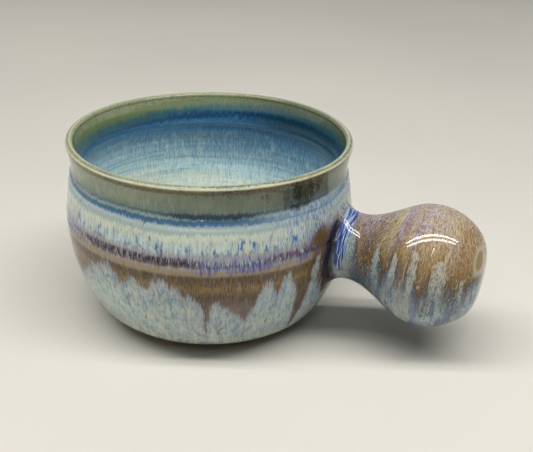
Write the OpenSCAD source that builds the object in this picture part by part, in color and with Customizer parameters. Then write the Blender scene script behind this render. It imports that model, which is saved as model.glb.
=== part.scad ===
// Hand-thrown soup mug with a hollow thrown knob for a handle.
// The mug stands on its foot ring at z = 0 with the bowl's axis on Z, and the handle points along +X.
// Outer sizes are those of the finished mug, glaze included. The clay lies one glaze coat inside them.

/* [Rim] */
// Width across the rolled lip
rim_d = 127; // [118:1:136]
// Height from the widest place of the belly to the top of the lip
shoulder_h = 34.2; // [30:0.1:40]
// Thickness of the rolled lip
lip_t = 3.6; // [3:0.1:4.6]

/* [Collar] */
// How far the waist under the lip lies inside the rim's edge
waist_inset = 1.8; // [1:0.1:3]
// Drop from the top of the lip to the waist
waist_drop = 10.6; // [8:0.1:14]
// Thickness of the wall at the waist
collar_t = 3.8; // [3.2:0.1:5]

/* [Belly] */
// How far the belly stands out past the rim's edge
belly_bulge = 0.8; // [-2:0.1:5]
// Height of the widest place above the table
belly_z = 50; // [44:0.5:58]
// Thickness of the wall at the belly
belly_t = 4.8; // [4:0.1:6]

/* [Foot] */
// Width of the turned foot ring where it meets the wall
foot_d = 81; // [72:1:90]
// Height of the foot ring on the outside
foot_h = 2.4; // [1.6:0.1:4]
// Width of the ring that the mug stands on
foot_ring_t = 5.5; // [4:0.1:8]
// Depth of the turned recess inside the foot ring
recess_h = 2.8; // [2:0.1:3.6]
// Bevel along both edges of the foot ring
foot_bevel = 0.7; // [0.3:0.1:1.2]
// Distance from the table to the finished floor at the bowl's axis
floor_z = 8.6; // [7.6:0.1:11]
// Height over which the wall rounds into the floor
floor_round_h = 6; // [4:0.5:8]
// Thickness of the wall where it turns into the floor
turn_t = 6.8; // [5.4:0.1:8]

/* [Throwing marks] */
// Depth of the two grooves under the collar and of the one round the belly
groove_depth = 0.45; // [0.2:0.05:0.8]
// Half width of those grooves
groove_half_w = 1.5; // [1.1:0.1:2]
// Drop from the top of the lip to the upper collar groove
collar_groove_drop = 13.6; // [12:0.1:15]
// Distance from the upper collar groove to the lower one
groove_gap = 4.4; // [3.4:0.1:5.4]
// Drop from the widest place of the belly to its groove
belly_groove_drop = 0.4; // [-2:0.1:3]
// Drop from the top of the lip to the throwing step inside the collar
inner_step_drop = 15.2; // [12:0.1:18]
// Number of throwing rings left on the floor and the inner wall
inner_rings = 7; // [4:1:9]
// Height of those rings
inner_ring_h = 0.25; // [0.1:0.05:0.4]

/* [Handle] */
// Distance along the handle's axis from the bowl's widest radius to the knob's tip
handle_l = 61.1; // [57:0.1:68]
// Drop from the widest place of the belly to where the handle's axis passes that radius
handle_drop = 7.7; // [4:0.1:11]
// Droop of the handle's axis below level, in degrees
handle_droop = 4.5; // [2:0.5:8]
// Width of the knob
knob_d = 53; // [48:0.5:58]
// Length of the knob's round as a share of its width
knob_round_share = 0.97; // [0.9:0.01:1.1]
// Width of the neck
neck_d = 29.8; // [26:0.2:32]
// Thickness of the thrown wall of the handle
handle_t = 4.2; // [3.4:0.1:5]
// How far the knob's tip is pressed in from round
tip_press = 2.4; // [1:0.1:3.5]

/* [Luting coil] */
// Length of the coil along the neck, measured from the bowl's widest radius
coil_l = 5.4; // [4:0.1:7]
// Length of the whole flare that the coil is a part of
flare_l = 11.6; // [9.5:0.1:13]
// Height of the whole flare
flare_h = 9; // [7:0.1:11]
// Thickness of the smoothed edge of the coil on the neck
coil_edge_t = 0.35; // [0.2:0.05:0.6]

/* [Glaze] */
// Thickness of a coat of glaze
glaze_t = 0.5; // [0.3:0.05:0.8]
// Drop from the upper collar groove to where the rim's coat meets the wall's coat
rim_seam_drop = 2.7; // [1.6:0.1:3.2]
// Drop from the top of the lip to where the rim's coat meets the liner inside
liner_seam_drop = 10.2; // [7:0.1:12]

/* [Hidden] */
$fn = 96;

rim_r = rim_d / 2;
lip_r = lip_t / 2;
belly_r = rim_r + belly_bulge;
waist_r = rim_r - waist_inset;
foot_r = foot_d / 2;
knob_r = knob_d / 2;
neck_r = neck_d / 2;
mug_h = belly_z + shoulder_h;
handle_z = belly_z - handle_drop;
waist_z = mug_h - waist_drop;
upper_groove_z = mug_h - collar_groove_drop;
lower_groove_z = upper_groove_z - groove_gap;
belly_groove_z = belly_z - belly_groove_drop;
inner_step_z = mug_h - inner_step_drop;
rim_seam_z = upper_groove_z - rim_seam_drop;
liner_seam_z = mug_h - liner_seam_drop;
handle_reach = belly_r + handle_l;

// The outside of the bowl as shares. Below the belly they run from foot to belly, and above it
// from belly to waist: first the radius, then the height.
lower_shares = [[0, 0], [0.2, 0.022], [0.42, 0.085], [0.6, 0.205], [0.765, 0.38],
    [0.905, 0.605], [0.985, 0.84]];
upper_shares = [[0, 0], [0.3, 0.42], [0.78, 0.76]];
// Directions at which the round of the lip starts outside and ends inside
lip_start = -35;
lip_end = 190;
lip_steps = 10;
// Samples for each stretch of a spline
lower_steps = 5;
upper_steps = 7;
// The rounded floor, as shares of the radius at which the wall ends and of its height above the floor
floor_shares = [[0.965, 0.76], [0.925, 0.56], [0.85, 0.3], [0.73, 0.12], [0.55, 0.04], [0.3, 0.01]];

function mix(a, b, s) = a + (b - a) * s;
function unit(v) = v / norm(v);

// One point of a spline that passes through b and c, with a and d on either side of them
function spline_point(a, b, c, d, s) =
    0.5 * (2 * b + (c - a) * s + (2 * a - 5 * b + 4 * c - d) * s * s + (3 * b - a - 3 * c + d) * s * s * s);

// The way out of the clay at point i of a path that runs up the outside and down the inside
function outward(p, i) =
    let (v = unit(p[min(i + 1, len(p) - 1)] - p[max(i - 1, 0)]))
    [v[1], -v[0]];

// A smooth hump of height 1 at zero that ends at -1 and 1
function hump(s) = abs(s) < 1 ? pow(1 - s * s, 2) : 0;

// Depth of the throwing grooves on the outside at height z
function groove(z) =
    groove_depth * (hump((z - upper_groove_z) / groove_half_w)
        + hump((z - lower_groove_z) / groove_half_w)
        + hump((z - belly_groove_z) / groove_half_w));

lip_centre = [rim_r - lip_r, mug_h - lip_r];
lip_foot = lip_centre + lip_r * [cos(lip_start), sin(lip_start)];
outer_knots = concat(
    [for (s = lower_shares) [mix(foot_r, belly_r, s[0]), mix(foot_h, belly_z, s[1])]],
    [for (s = upper_shares) [mix(belly_r, waist_r, s[0]), mix(belly_z, waist_z, s[1])]],
    [[waist_r, waist_z], lip_foot]);

// Samples of the outer spline from knot i up to the next knot
function stretch(i, steps) =
    let (p = outer_knots, last = len(p) - 1)
    [for (k = [0:steps - 1])
        spline_point(i == 0 ? 2 * p[0] - p[1] : p[i - 1], p[i], p[i + 1],
            i == last - 1 ? 2 * p[last] - p[last - 1] : p[i + 2], k / steps)];

lower_count = len(lower_shares);
smooth_outer = concat(
    [for (i = [0:lower_count - 1]) each stretch(i, lower_steps)],
    [for (i = [lower_count:len(outer_knots) - 2]) each stretch(i, upper_steps)]);

outer_path = [for (i = [0:len(smooth_outer) - 1])
    smooth_outer[i] - outward(smooth_outer, i) * groove(smooth_outer[i][1])];
lip_path = [for (k = [0:lip_steps])
    let (a = mix(lip_start, lip_end, k / lip_steps))
    lip_centre + lip_r * [cos(a), sin(a)]];

// Thickness of the wall beside a height on the outside
function wall_t(z) =
    z > waist_z ? mix(collar_t, lip_t, (z - waist_z) / (lip_foot[1] - waist_z))
    : z > belly_z ? mix(belly_t, collar_t, (z - belly_z) / (waist_z - belly_z))
    : mix(turn_t, belly_t, (z - foot_h) / (belly_z - foot_h));

// Height of the throwing marks inside at height z: a step under the collar and soft rings below it
function inner_mark(z) =
    inner_ring_h * (2 * hump((z - inner_step_z) / groove_half_w)
        + (z < inner_step_z ? pow(sin(inner_rings * 180 * z / inner_step_z), 2) : 0));

inner_top = lip_centre[1] - lip_t;
inner_wall = [for (i = [len(smooth_outer) - 1:-1:0])
    let (p = smooth_outer[i], q = p - outward(smooth_outer, i) * wall_t(p[1]))
    if (q[1] < inner_top && q[1] > floor_z + floor_round_h) q - [inner_mark(q[1]), 0]];
corner = inner_wall[len(inner_wall) - 1];
inner_path = concat(inner_wall,
    [for (s = floor_shares) [corner[0] * s[0], mix(floor_z, corner[1], s[1])]],
    [[0, floor_z]]);

// The whole finished surface, up the outside, over the lip and down to the middle of the floor,
// and the clay one coat of glaze below it
skin = concat(outer_path, lip_path, inner_path);
clay = [for (i = [0:len(skin) - 1])
    i == len(skin) - 1 ? [0, floor_z - glaze_t] : skin[i] - outward(skin, i) * glaze_t];
lip_first = len(outer_path);
lip_last = lip_first + len(lip_path) - 1;

// Where each coat starts and ends along the skin
glaze_start = lower_steps;
rim_start = max([for (i = [0:lip_first - 1]) if (skin[i][1] < rim_seam_z) i]);
rim_end = min([for (i = [lip_last:len(skin) - 1]) if (skin[i][1] < liner_seam_z) i]);

// The ring that lies between the clay and the skin from point a to point b
module coat(a, b) {
    rotate_extrude()
        polygon(concat([for (i = [a:b]) clay[i]], [for (i = [b:-1:a]) skin[i]]));
}

// Handle, along its own axis: first the distance from the bowl's axis, then the radius
axis_z = handle_z + belly_r * tan(handle_droop);
knob_half_l = knob_r * knob_round_share;
knob_x = handle_reach + tip_press - knob_half_l;
coil_x = belly_r + coil_l;
coil_edge_l = 2 * coil_edge_t;
// The knob's round starts at this share of its half length before its middle, or at the coil
full_blend_share = 0.48;
blend_x = max(knob_x - knob_half_l * full_blend_share, coil_x + coil_edge_l);
blend_share = (knob_x - blend_x) / knob_half_l;
blend_r = knob_r * sqrt(1 - blend_share * blend_share);
blend_steps = 10;
knob_steps = 22;
flare_steps = 9;
press_share = 0.7;
flare_reach_share = 0.97;

// Slope of the knob where the neck runs into it
blend_slope = blend_share / sqrt(1 - blend_share * blend_share) / knob_round_share;

// Height of the flare at a distance towards the bowl from the coil's edge
function flare(d) =
    coil_edge_t * min(1, d / coil_edge_l) + flare_h * (1 - sqrt(1 - pow(d / flare_l, 2)));

flare_path = [for (k = [flare_steps:-1:1])
    let (d = mix(coil_edge_l, flare_l * flare_reach_share, (k - 1) / (flare_steps - 1)))
    [coil_x - d, neck_r + flare(d)]];
neck_path = [for (k = [0:blend_steps - 1])
    let (s = k / blend_steps, l = blend_x - coil_x)
    [mix(coil_x, blend_x, s),
        mix(neck_r, blend_r, s * s * (3 - 2 * s)) + l * blend_slope * (s * s * s - s * s)]];
knob_start = 180 - acos(blend_share);
knob_path = [for (k = [0:knob_steps])
    let (a = knob_start * (1 - k / knob_steps), s = min(1, sin(a) / press_share))
    [knob_x + knob_half_l * cos(a) - (a < 90 ? tip_press * pow(1 - s * s, 2) : 0), knob_r * sin(a)]];

// The finished surface of handle and coil, and the clay below it
handle_skin = concat(flare_path, neck_path, knob_path);
handle_clay = [for (i = [0:len(handle_skin) - 1])
    i == len(handle_skin) - 1 ? [handle_reach - glaze_t, 0]
        : handle_skin[i] - side(handle_skin, i) * glaze_t];

// The way out of the clay at point i of a path along the handle
function side(p, i) =
    let (v = unit(p[min(i + 1, len(p) - 1)] - p[max(i - 1, 0)]))
    [-v[1], v[0]];

handle_body = [for (i = [flare_steps:len(handle_clay) - 1]) handle_clay[i]];
handle_start = belly_r - flare_l;
bore_path = [for (i = [0:len(handle_body) - 2])
    let (q = handle_body[i] - side(handle_body, i) * handle_t)
    if (q[1] > 0) q];
bore_end = handle_reach - glaze_t - handle_t;

// Puts a shape drawn up the Z axis on the handle's axis
module on_handle_axis() {
    translate([0, 0, axis_z])
        rotate([0, 90 + handle_droop, 0])
            children();
}

// Turns a path of distances and radii round the handle's axis
module turned(path) {
    on_handle_axis()
        rotate_extrude()
            polygon([for (p = path) [p[1], p[0]]]);
}

// Everything inside the clay's outer wall, which cuts the handle's pieces to their saddle
module wall_core() {
    rotate_extrude()
        polygon(concat([[0, clay[0][1]]], [for (i = [0:lip_first]) clay[i]], [[0, clay[lip_first][1]]]));
}

// Thrown bowl: floor, belly, collar, rolled lip and turned foot ring
module bowl() {
    ring_r = foot_r - foot_h;
    ring_in_r = foot_r - foot_ring_t;
    color("tan")
        rotate_extrude()
            polygon(concat(
                [[0, recess_h], [ring_in_r - foot_bevel, recess_h], [ring_in_r, recess_h - foot_bevel],
                    [ring_in_r, foot_bevel], [ring_in_r + foot_bevel, 0], [ring_r - foot_bevel, 0],
                    [ring_r, foot_bevel], [foot_r - foot_bevel, foot_h - foot_bevel / 2]],
                clay));
}

// Hollow thrown knob and neck, open towards the bowl and cut to sit on its wall
module handle() {
    neck_clay_r = neck_r - glaze_t;
    color("peru")
        difference() {
            turned(concat(
                [[handle_start, neck_clay_r - handle_t], [handle_start, neck_clay_r]],
                handle_body, [[bore_end, 0]],
                [for (i = [len(bore_path) - 1:-1:0]) bore_path[i]]));
            wall_core();
        }
}

// Soft coil of clay pressed into the corner round the neck and smoothed to a flare
module luting_coil() {
    neck_clay_r = neck_r - glaze_t;
    flare_clay = [for (i = [0:flare_steps - 1]) handle_clay[i]];
    color("chocolate")
        difference() {
            turned(concat([[flare_clay[0][0], neck_clay_r]], flare_clay,
                [[handle_body[0][0], neck_clay_r]]));
            wall_core();
        }
}

// Coat of the outer wall, from above the foot to the collar, open round the handle
module wall_glaze() {
    color("lightsteelblue")
        difference() {
            coat(glaze_start, rim_start);
            turned(concat([[handle_skin[0][0], 0]], handle_skin));
        }
}

// Green coat that the rim was dipped in
module rim_glaze() {
    color("darkseagreen")
        coat(rim_start, rim_end);
}

// Coat of the inside, from the collar to the middle of the floor
module liner_glaze() {
    color("steelblue")
        coat(rim_end, len(skin) - 1);
}

// Coat over handle and coil
module handle_glaze() {
    last = len(handle_skin) - 1;
    color("rosybrown")
        difference() {
            turned(concat(handle_clay, [for (i = [last:-1:0]) handle_skin[i]]));
            wall_core();
        }
}

bowl();
handle();
luting_coil();
wall_glaze();
rim_glaze();
liner_glaze();
handle_glaze();
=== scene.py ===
# Soup mug: a thrown stoneware bowl with a round thrown knob for a handle, in layered running glazes.
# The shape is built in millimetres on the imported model's frame and turned into metres at the end.
import math

import bpy
import numpy as np
from mathutils import Matrix, Vector


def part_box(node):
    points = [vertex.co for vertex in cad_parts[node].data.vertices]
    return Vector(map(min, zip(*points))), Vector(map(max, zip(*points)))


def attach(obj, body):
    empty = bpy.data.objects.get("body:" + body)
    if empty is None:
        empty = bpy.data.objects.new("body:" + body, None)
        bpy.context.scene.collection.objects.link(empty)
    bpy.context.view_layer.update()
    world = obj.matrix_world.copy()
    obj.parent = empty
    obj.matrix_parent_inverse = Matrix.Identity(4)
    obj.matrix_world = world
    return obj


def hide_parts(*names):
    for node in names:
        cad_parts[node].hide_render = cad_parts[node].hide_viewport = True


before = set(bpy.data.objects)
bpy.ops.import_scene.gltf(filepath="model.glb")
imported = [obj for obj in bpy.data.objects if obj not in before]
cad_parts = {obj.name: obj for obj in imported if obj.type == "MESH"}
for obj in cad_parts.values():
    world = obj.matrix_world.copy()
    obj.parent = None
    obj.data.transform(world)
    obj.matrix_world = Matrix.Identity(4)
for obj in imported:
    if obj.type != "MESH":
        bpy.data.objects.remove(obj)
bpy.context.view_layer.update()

print("frame loaded, with", len(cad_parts), "nodes")

mm = 0.001


def topOf(nodeName, axis):
    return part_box(nodeName)[1][axis] / mm


# the pot's own sizes, in mm: heights above the table, and drops below the lip
pot = {
    "lipHeight": topOf("rim_glaze", 2),
    "rimRadius": topOf("rim_glaze", 0),
    "lipThick": 3.6,
    "waistInset": 1.8,
    "waistDrop": 10.6,
    "collarThick": 3.8,
    "bellyBulge": 0.8,
    "shoulder": 34.2,
    "bellyThick": 4.8,
    "footRadius": 40.5,
    "footHeight": 2.4,
    "footRing": 5.5,
    "footRecess": 2.8,
    "footBevel": 0.7,
    "turnThick": 6.8,
    "floorHeight": 8.6,
    "floorRound": 6.0,
    "grooveDepth": 0.45,
    "grooveHalf": 1.5,
    "upperGrooveDrop": 13.6,
    "grooveGap": 4.4,
    "bellyGrooveDrop": 0.4,
    "innerStepDrop": 15.2,
    "innerRings": 7,
    "innerRingHeight": 0.25,
    "glazeThick": 0.5,
    "glazeStart": 3.4,
    "rimSeamDrop": 16.3,
    "linerSeamDrop": 10.2,
    # how uneven the thrown wall is, and how far the lip is out of round
    "unevenness": 0.09,
    "wheelMark": 0.015,
    "setBack": 0.12,
    "seed": 4,
    "ovalOut": 0.35,
    "ovalUp": 0.22,
    # points round the pot, and the distance between points and between rows of points
    "sectionStep": 0.2,
    "around": 384,
    "wallStep": 0.8,
    "rimStep": 0.4,
    "linerStep": 0.9,
    "clayStep": 1.1,
    "middleGap": 0.7,
}
lipTop = pot["lipHeight"]
lipRadius = pot["lipThick"] / 2
bellyHeight = lipTop - pot["shoulder"]
bellyRadius = pot["rimRadius"] + pot["bellyBulge"]
waistHeight = lipTop - pot["waistDrop"]
waistRadius = pot["rimRadius"] - pot["waistInset"]
upperGroove = lipTop - pot["upperGrooveDrop"]
lowerGroove = upperGroove - pot["grooveGap"]
innerStep = lipTop - pot["innerStepDrop"]
coatThick = pot["glazeThick"]
coatDepth = coatThick * 0.9    # a little thinner than the CAD's coat, to stay clear of the clay


def soft(share):
    return share * share * (3 - 2 * share)


def smooth(low, high, value):
    return soft(np.clip((value - low) / (high - low), 0, 1))


def hump(share):
    return np.where(np.abs(share) < 1, (1 - share * share) ** 2, 0)


def bell(value, middle, width):
    return np.exp(-((value - middle) / width) ** 2)


def onCircle(angle, radius, height):
    return np.stack(np.broadcast_arrays(radius * np.cos(angle), radius * np.sin(angle), height), -1)


def splineThrough(knots, perStretch=20):
    # Catmull-Rom, with the ends carried on straight
    p = np.vstack([2 * knots[0] - knots[1], knots, 2 * knots[-1] - knots[-2]])
    s = np.linspace(0, 1, perStretch, endpoint=False)[:, None]
    parts = []
    for i in range(len(knots) - 1):
        a, b, c, d = p[i:i + 4]
        square = (2 * a - 5 * b + 4 * c - d) * s * s
        cube = (3 * b - a - 3 * c + d) * s ** 3
        parts.append(0.5 * (2 * b + (c - a) * s + square + cube))
    return np.vstack(parts + [knots[-1:]])


def alongPath(path):
    # how far along a path each of its points lies
    steps = np.linalg.norm(np.diff(path, axis=0), axis=1)
    return np.concatenate([[0], np.cumsum(steps)])


def evenPath(path, step):
    # the same path with its points an even step apart
    run = alongPath(path)
    at = np.linspace(0, run[-1], int(run[-1] / step) + 1)
    return np.stack([np.interp(at, run, path[:, 0]), np.interp(at, run, path[:, 1])], 1)


def outwardOf(path):
    # unit normals to the right of the way the path runs, which is out of the clay
    run = np.gradient(path, axis=0)
    run /= np.linalg.norm(run, axis=1)[:, None]
    return np.stack([run[:, 1], -run[:, 0]], 1)


def wallThickness(height):
    heights = [pot["footHeight"], bellyHeight, waistHeight, lipTop - 2.8]
    thick = [pot["turnThick"], pot["bellyThick"], pot["collarThick"], pot["lipThick"]]
    return np.interp(height, heights, thick)


def potSection():
    foot = np.array([pot["footRadius"], pot["footHeight"]])
    belly = np.array([bellyRadius, bellyHeight])
    waist = np.array([waistRadius, waistHeight])
    # shares of the way out and up, from foot to belly and from belly to waist
    lower = [[0, 0], [0.2, 0.022], [0.42, 0.085], [0.6, 0.205], [0.765, 0.38],
             [0.905, 0.605], [0.985, 0.84]]
    upper = [[0, 0], [0.3, 0.42], [0.78, 0.76]]
    lipMiddle = np.array([pot["rimRadius"] - lipRadius, lipTop - lipRadius])
    turn = np.radians(np.linspace(-35, 190, 90))
    lip = lipMiddle + lipRadius * np.stack([np.cos(turn), np.sin(turn)], 1)
    knots = np.array([foot + (belly - foot) * s for s in lower]
                     + [belly + (waist - belly) * s for s in upper] + [waist, lip[0]])
    outside = evenPath(splineThrough(knots), 0.3)
    z = outside[:, 1]
    bellyGroove = bellyHeight - pot["bellyGrooveDrop"]
    cut = sum(hump((z - at) / pot["grooveHalf"]) for at in (upperGroove, lowerGroove, bellyGroove))
    normal = outwardOf(outside)
    inside = (outside - normal * wallThickness(z)[:, None])[::-1]
    inside = inside[(inside[:, 1] < lipMiddle[1] - pot["lipThick"])
                    & (inside[:, 1] > pot["floorHeight"] + pot["floorRound"])]
    # the inside rounds off into the floor
    corner = inside[-1]
    shares = [[0.965, 0.76], [0.925, 0.56], [0.85, 0.3], [0.73, 0.12], [0.55, 0.04], [0.3, 0.01], [0, 0]]
    rise = corner[1] - pot["floorHeight"]
    floor = [[corner[0] * a, pot["floorHeight"] + rise * b] for a, b in shares]
    inside = np.vstack([inside[:-12], splineThrough(np.array([inside[-12], corner] + floor))])
    outside = outside - normal * (pot["grooveDepth"] * cut)[:, None]
    z = inside[:, 1]
    ringWave = np.sin(pot["innerRings"] * np.pi * z / innerStep) ** 2
    mark = 2 * hump((z - innerStep) / pot["grooveHalf"]) + np.where(z < innerStep, ringWave, 0)
    mark *= pot["innerRingHeight"] * smooth(pot["floorHeight"] + 1, pot["floorHeight"] + 8, z)
    inside = inside - np.stack([mark, 0 * mark], 1)
    return evenPath(np.vstack([outside, lip[1:-1], inside]), pot["sectionStep"])


section = potSection()
sectionRun = alongPath(section)
sectionOut = outwardOf(section)
crest = sectionRun[np.argmax(section[:, 1])]
sectionEnd = sectionRun[-1]
outerSide = sectionRun < crest


def runAtHeight(height, outside=True):
    # how far along the section, from the foot over the lip to the inside's middle, a height is reached
    side = outerSide if outside else sectionRun > crest
    return sectionRun[side][np.argmin(np.abs(section[side, 1] - height))]


def wallRadius(height):
    return np.interp(height, section[outerSide, 1], section[outerSide, 0])


def wallRun(height):
    return np.interp(height, section[outerSide, 1], sectionRun[outerSide])


def wobble(angle, run, seed, size, tall):
    # a few slow waves round the pot and up it, the same on every run
    rng = np.random.default_rng(seed)
    total = 0
    for lobes in (2, 3, 5, 7, 11):
        lean = rng.uniform(0, 2 * math.pi)
        climb = rng.uniform(-1, 1) / tall
        total = total + np.sin(lobes * angle + lean + 2 * math.pi * climb * run) / lobes
    return size * total / 2


def potPoint(angle, run, depth=0):
    # a point of the finished surface, or that far below it
    r, z, nr, nz = (np.interp(run, sectionRun, column) for column in (*section.T, *sectionOut.T))
    # the wheel's marks and the lumps fade out towards the foot, the lip and the floor's middle
    wheel = np.sin(run * 1.7 + angle) * smooth(8, 30, run) * smooth(-14, -22, run - crest)
    lump = wobble(angle, run, pot["seed"], pot["unevenness"], tall=40)
    lump = (lump - pot["setBack"] + pot["wheelMark"] * wheel) * smooth(3, 12, run)
    lump = lump * smooth(sectionEnd, sectionEnd - 25, run)
    sag = smooth(waistHeight - 14, lipTop, z)
    ovalOut = pot["ovalOut"] * (1 + np.cos(2 * angle + 0.6)) * smooth(10, 40, r)
    out = r + nr * (lump - depth) - sag * ovalOut
    up = z + nz * (lump - depth) - sag * pot["ovalUp"] * (1 + np.sin(3 * angle + 1.1))
    return onCircle(angle, out, up)


def crossed(across, along):
    normal = np.cross(across, along)
    return normal / np.maximum(np.linalg.norm(normal, axis=-1), 1e-12)[..., None]


def potNormals(angle, run, step=0.02):
    turn = step / 60
    return crossed(potPoint(angle + turn, run) - potPoint(angle - turn, run),
                   potPoint(angle, run + step) - potPoint(angle, run - step))


# the handle's sizes in mm, along its own axis, which leaves the bowl's axis and droops
knob = {
    "axisHeight": 47.36,
    "droop": 4.5,
    "reach": bellyRadius + 61.1,
    "radius": 26.5,
    "roundShare": 0.97,
    "blendShare": 0.48,
    "neckRadius": 14.9,
    "coilLength": 5.4,
    "tipPress": 2.4,
    "filletAlong": 6.6,
    "filletUp": 5.0,
    "filletBeside": 0.3,
    "coilPress": 0.3,
    "unevenness": 0.16,
    "setBack": 0.06,
    "seed": 21,
    # the neck meets the wall between these places along the axis, takes this many points of the
    # section, and starts this far inside the wall
    "wallBetween": (45.0, 70.0),
    "neckPoints": 400,
    "neckInside": 22,
    "around": 256,
    # rows of the coat on the wall, how far beyond the fillet they lie and how deep they sink in
    "hemRows": (1.4, 0.7),
    "hemSunk": (0.25, 0.08),
    "filletRows": 16,
    "bodyRows": 108,
}
droop = math.radians(knob["droop"])
axisStart = np.array([0, 0, knob["axisHeight"]])
axisWay = np.array([math.cos(droop), 0, -math.sin(droop)])
axisUp = np.array([math.sin(droop), 0, math.cos(droop)])
axisSide = np.array([0.0, -1.0, 0.0])


def newObject(name, data):
    obj = bpy.data.objects.new(name, data)
    bpy.context.scene.collection.objects.link(obj)
    return obj


def gridQuads(rows, columns):
    # the faces of a grid of points whose rows close on themselves
    i, j = np.meshgrid(np.arange(rows - 1), np.arange(columns), indexing="ij")
    k = (j + 1) % columns
    corners = [i * columns + j, i * columns + k, (i + 1) * columns + k, (i + 1) * columns + j]
    return np.stack(corners, -1).reshape(-1, 4)


def fan(start, columns, tip, flip=False):
    # triangles between a tip and the ring of points that is numbered from start
    ring = start + np.arange(columns)
    after = np.roll(ring, -1)
    first, second = (after, ring) if flip else (ring, after)
    return np.stack([first, second, np.full(columns, tip)], -1).tolist()


def smoothMesh(name, points, faces):
    mesh = bpy.data.meshes.new(name)
    mesh.from_pydata((points * mm).tolist(), [], faces)
    mesh.shade_smooth()
    return mesh


def shellMesh(name, outer, normals, inner, fields, tips=None):
    # a closed coat: a grid outside, the same inside, and a strip along each open edge
    rows, columns = outer.shape[:2]
    count = rows * columns
    last = count - columns
    points = np.vstack([outer.reshape(-1, 3), inner.reshape(-1, 3)])
    pointNormals = np.vstack([normals.reshape(-1, 3), -normals.reshape(-1, 3)])
    quads = gridQuads(rows, columns)
    ring = np.arange(columns)
    after = np.roll(ring, -1)
    strips = np.stack([after, ring, ring + count, after + count], -1)
    if tips is None:
        strips = np.vstack([strips, np.stack([ring, after, after + count, ring + count], -1) + last])
    faces = np.vstack([quads, quads[:, ::-1] + count, strips]).tolist()
    if tips is not None:
        points = np.vstack([points, *tips])
        faces += fan(last, columns, 2 * count) + fan(last + count, columns, 2 * count + 1, True)
        tipNormal = normals[-1].mean(0)
        tipNormal /= np.linalg.norm(tipNormal)
        pointNormals = np.vstack([pointNormals, tipNormal, -tipNormal])
    mesh = smoothMesh(name, points, faces)
    for fieldName, values in fields.items():
        flat = values.reshape(count, -1)
        ends = [] if tips is None else [flat[last:].mean(0)] * 2
        kind, key = ("FLOAT_VECTOR", "vector") if values.ndim == 3 else ("FLOAT", "value")
        layer = mesh.attributes.new(fieldName, kind, "POINT")
        layer.data.foreach_set(key, np.vstack([flat, flat, *ends]).astype(np.float32).ravel())
    loopPoint = np.zeros(len(mesh.loops), int)
    mesh.loops.foreach_get("vertex_index", loopPoint)
    loopNormals = pointNormals[loopPoint]
    # the strips keep the flat normals of their own faces
    flatNormals = np.zeros(len(mesh.polygons) * 3)
    mesh.polygons.foreach_get("normal", flatNormals)
    start, end = 2 * len(quads), 2 * len(quads) + len(strips)
    loopNormals[4 * start:4 * end] = np.repeat(flatNormals.reshape(-1, 3)[start:end], 4, 0)
    mesh.normals_split_custom_set(loopNormals.tolist())
    return newObject(name, mesh)


angles = np.linspace(-math.pi, math.pi, pot["around"], endpoint=False)

# where the runs of brown and the line lie on the outer wall, in mm above the table
runs = {
    "lineHeight": 51.6,
    "seed": 9,
    "topHeight": 50.6,
    "riseAtHandle": 8.5,
    "aroundNeck": 7.0,
    "neckTop": 58,
    "dripTop": 46,
    "dripTaper": 26,
    # where the brown ends below, going round from the handle: angle in degrees and height in mm
    "hem": [(-180, 33), (-166, 25), (-152, 24), (-138, 25), (-128, 30), (-121, 37), (-115, 40), (-109, 44),
            (-105, 41), (-102, 37), (-97, 40), (-91, 38), (-85, 43), (-81, 40), (-76, 36), (-72, 33),
            (-68, 27), (-65, 33), (-61, 30), (-57, 26), (-53, 22), (-50, 29), (-47, 38), (-44, 40),
            (-41, 33), (-38, 41), (-35.5, 42), (-33, 35), (-28, 22), (-25, 38), (-22.6, 46), (-21.4, 47.5),
            (-19, 40), (-16, 30), (0, 22), (14, 30), (20, 45), (27, 26), (36, 42), (46, 36), (54, 25),
            (61, 38), (70, 41), (79, 33), (88, 40), (95, 27), (102, 38), (112, 43), (121, 33), (131, 40),
            (141, 38), (150, 29), (158, 40), (169, 42), (180, 33)],
    # thin runs that reach on down: angle, lowest height, width where they leave the brown
    "drips": [(-68.5, 14, 3.6), (-28, 9, 8.5), (27.5, 13, 6), (95, 18, 4), (150, 15, 5), (-148, 15, 6)],
}


def easedCurve(value, table):
    # passes from each entry of a table to the next with a soft turn at both
    table = np.array(table, float)
    i = np.clip(np.searchsorted(table[:, 0], value) - 1, 0, len(table) - 2)
    share = np.clip((value - table[i, 0]) / (table[i + 1, 0] - table[i, 0]), 0, 1)
    return table[i, 1] + (table[i + 1, 1] - table[i, 1]) * soft(share)


def brownField(angle, height, neckGap):
    # how far inside the brown run a point lies, in mm
    degrees = np.degrees(angle)
    low = easedCurve(degrees, runs["hem"])
    high = runs["topHeight"] + runs["riseAtHandle"] * bell(np.abs(degrees), 20, 8.0)
    field = np.minimum(height - low, high - height)
    for at, bottom, width in runs["drips"]:
        across = np.abs(degrees - at) * bellyRadius * math.pi / 180
        half = width / 2 * np.clip((height - bottom) / runs["dripTaper"], 0, 1) ** 0.55
        field = np.maximum(field, np.minimum(2.2 * (half - across), runs["dripTop"] - height))
    return np.maximum(field, np.minimum(runs["aroundNeck"] - neckGap, runs["neckTop"] - height))


def neckFields(point):
    # distance from the foot of the handle's fillet, and how far round from its top
    local = point - axisStart
    up = local @ axisUp
    side = local @ axisSide
    away = np.hypot(up, side)
    gap = away - knob["neckRadius"] - 1.2
    return np.where(point[..., 0] > 0, gap, 60), up / np.maximum(away, 1)


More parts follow.
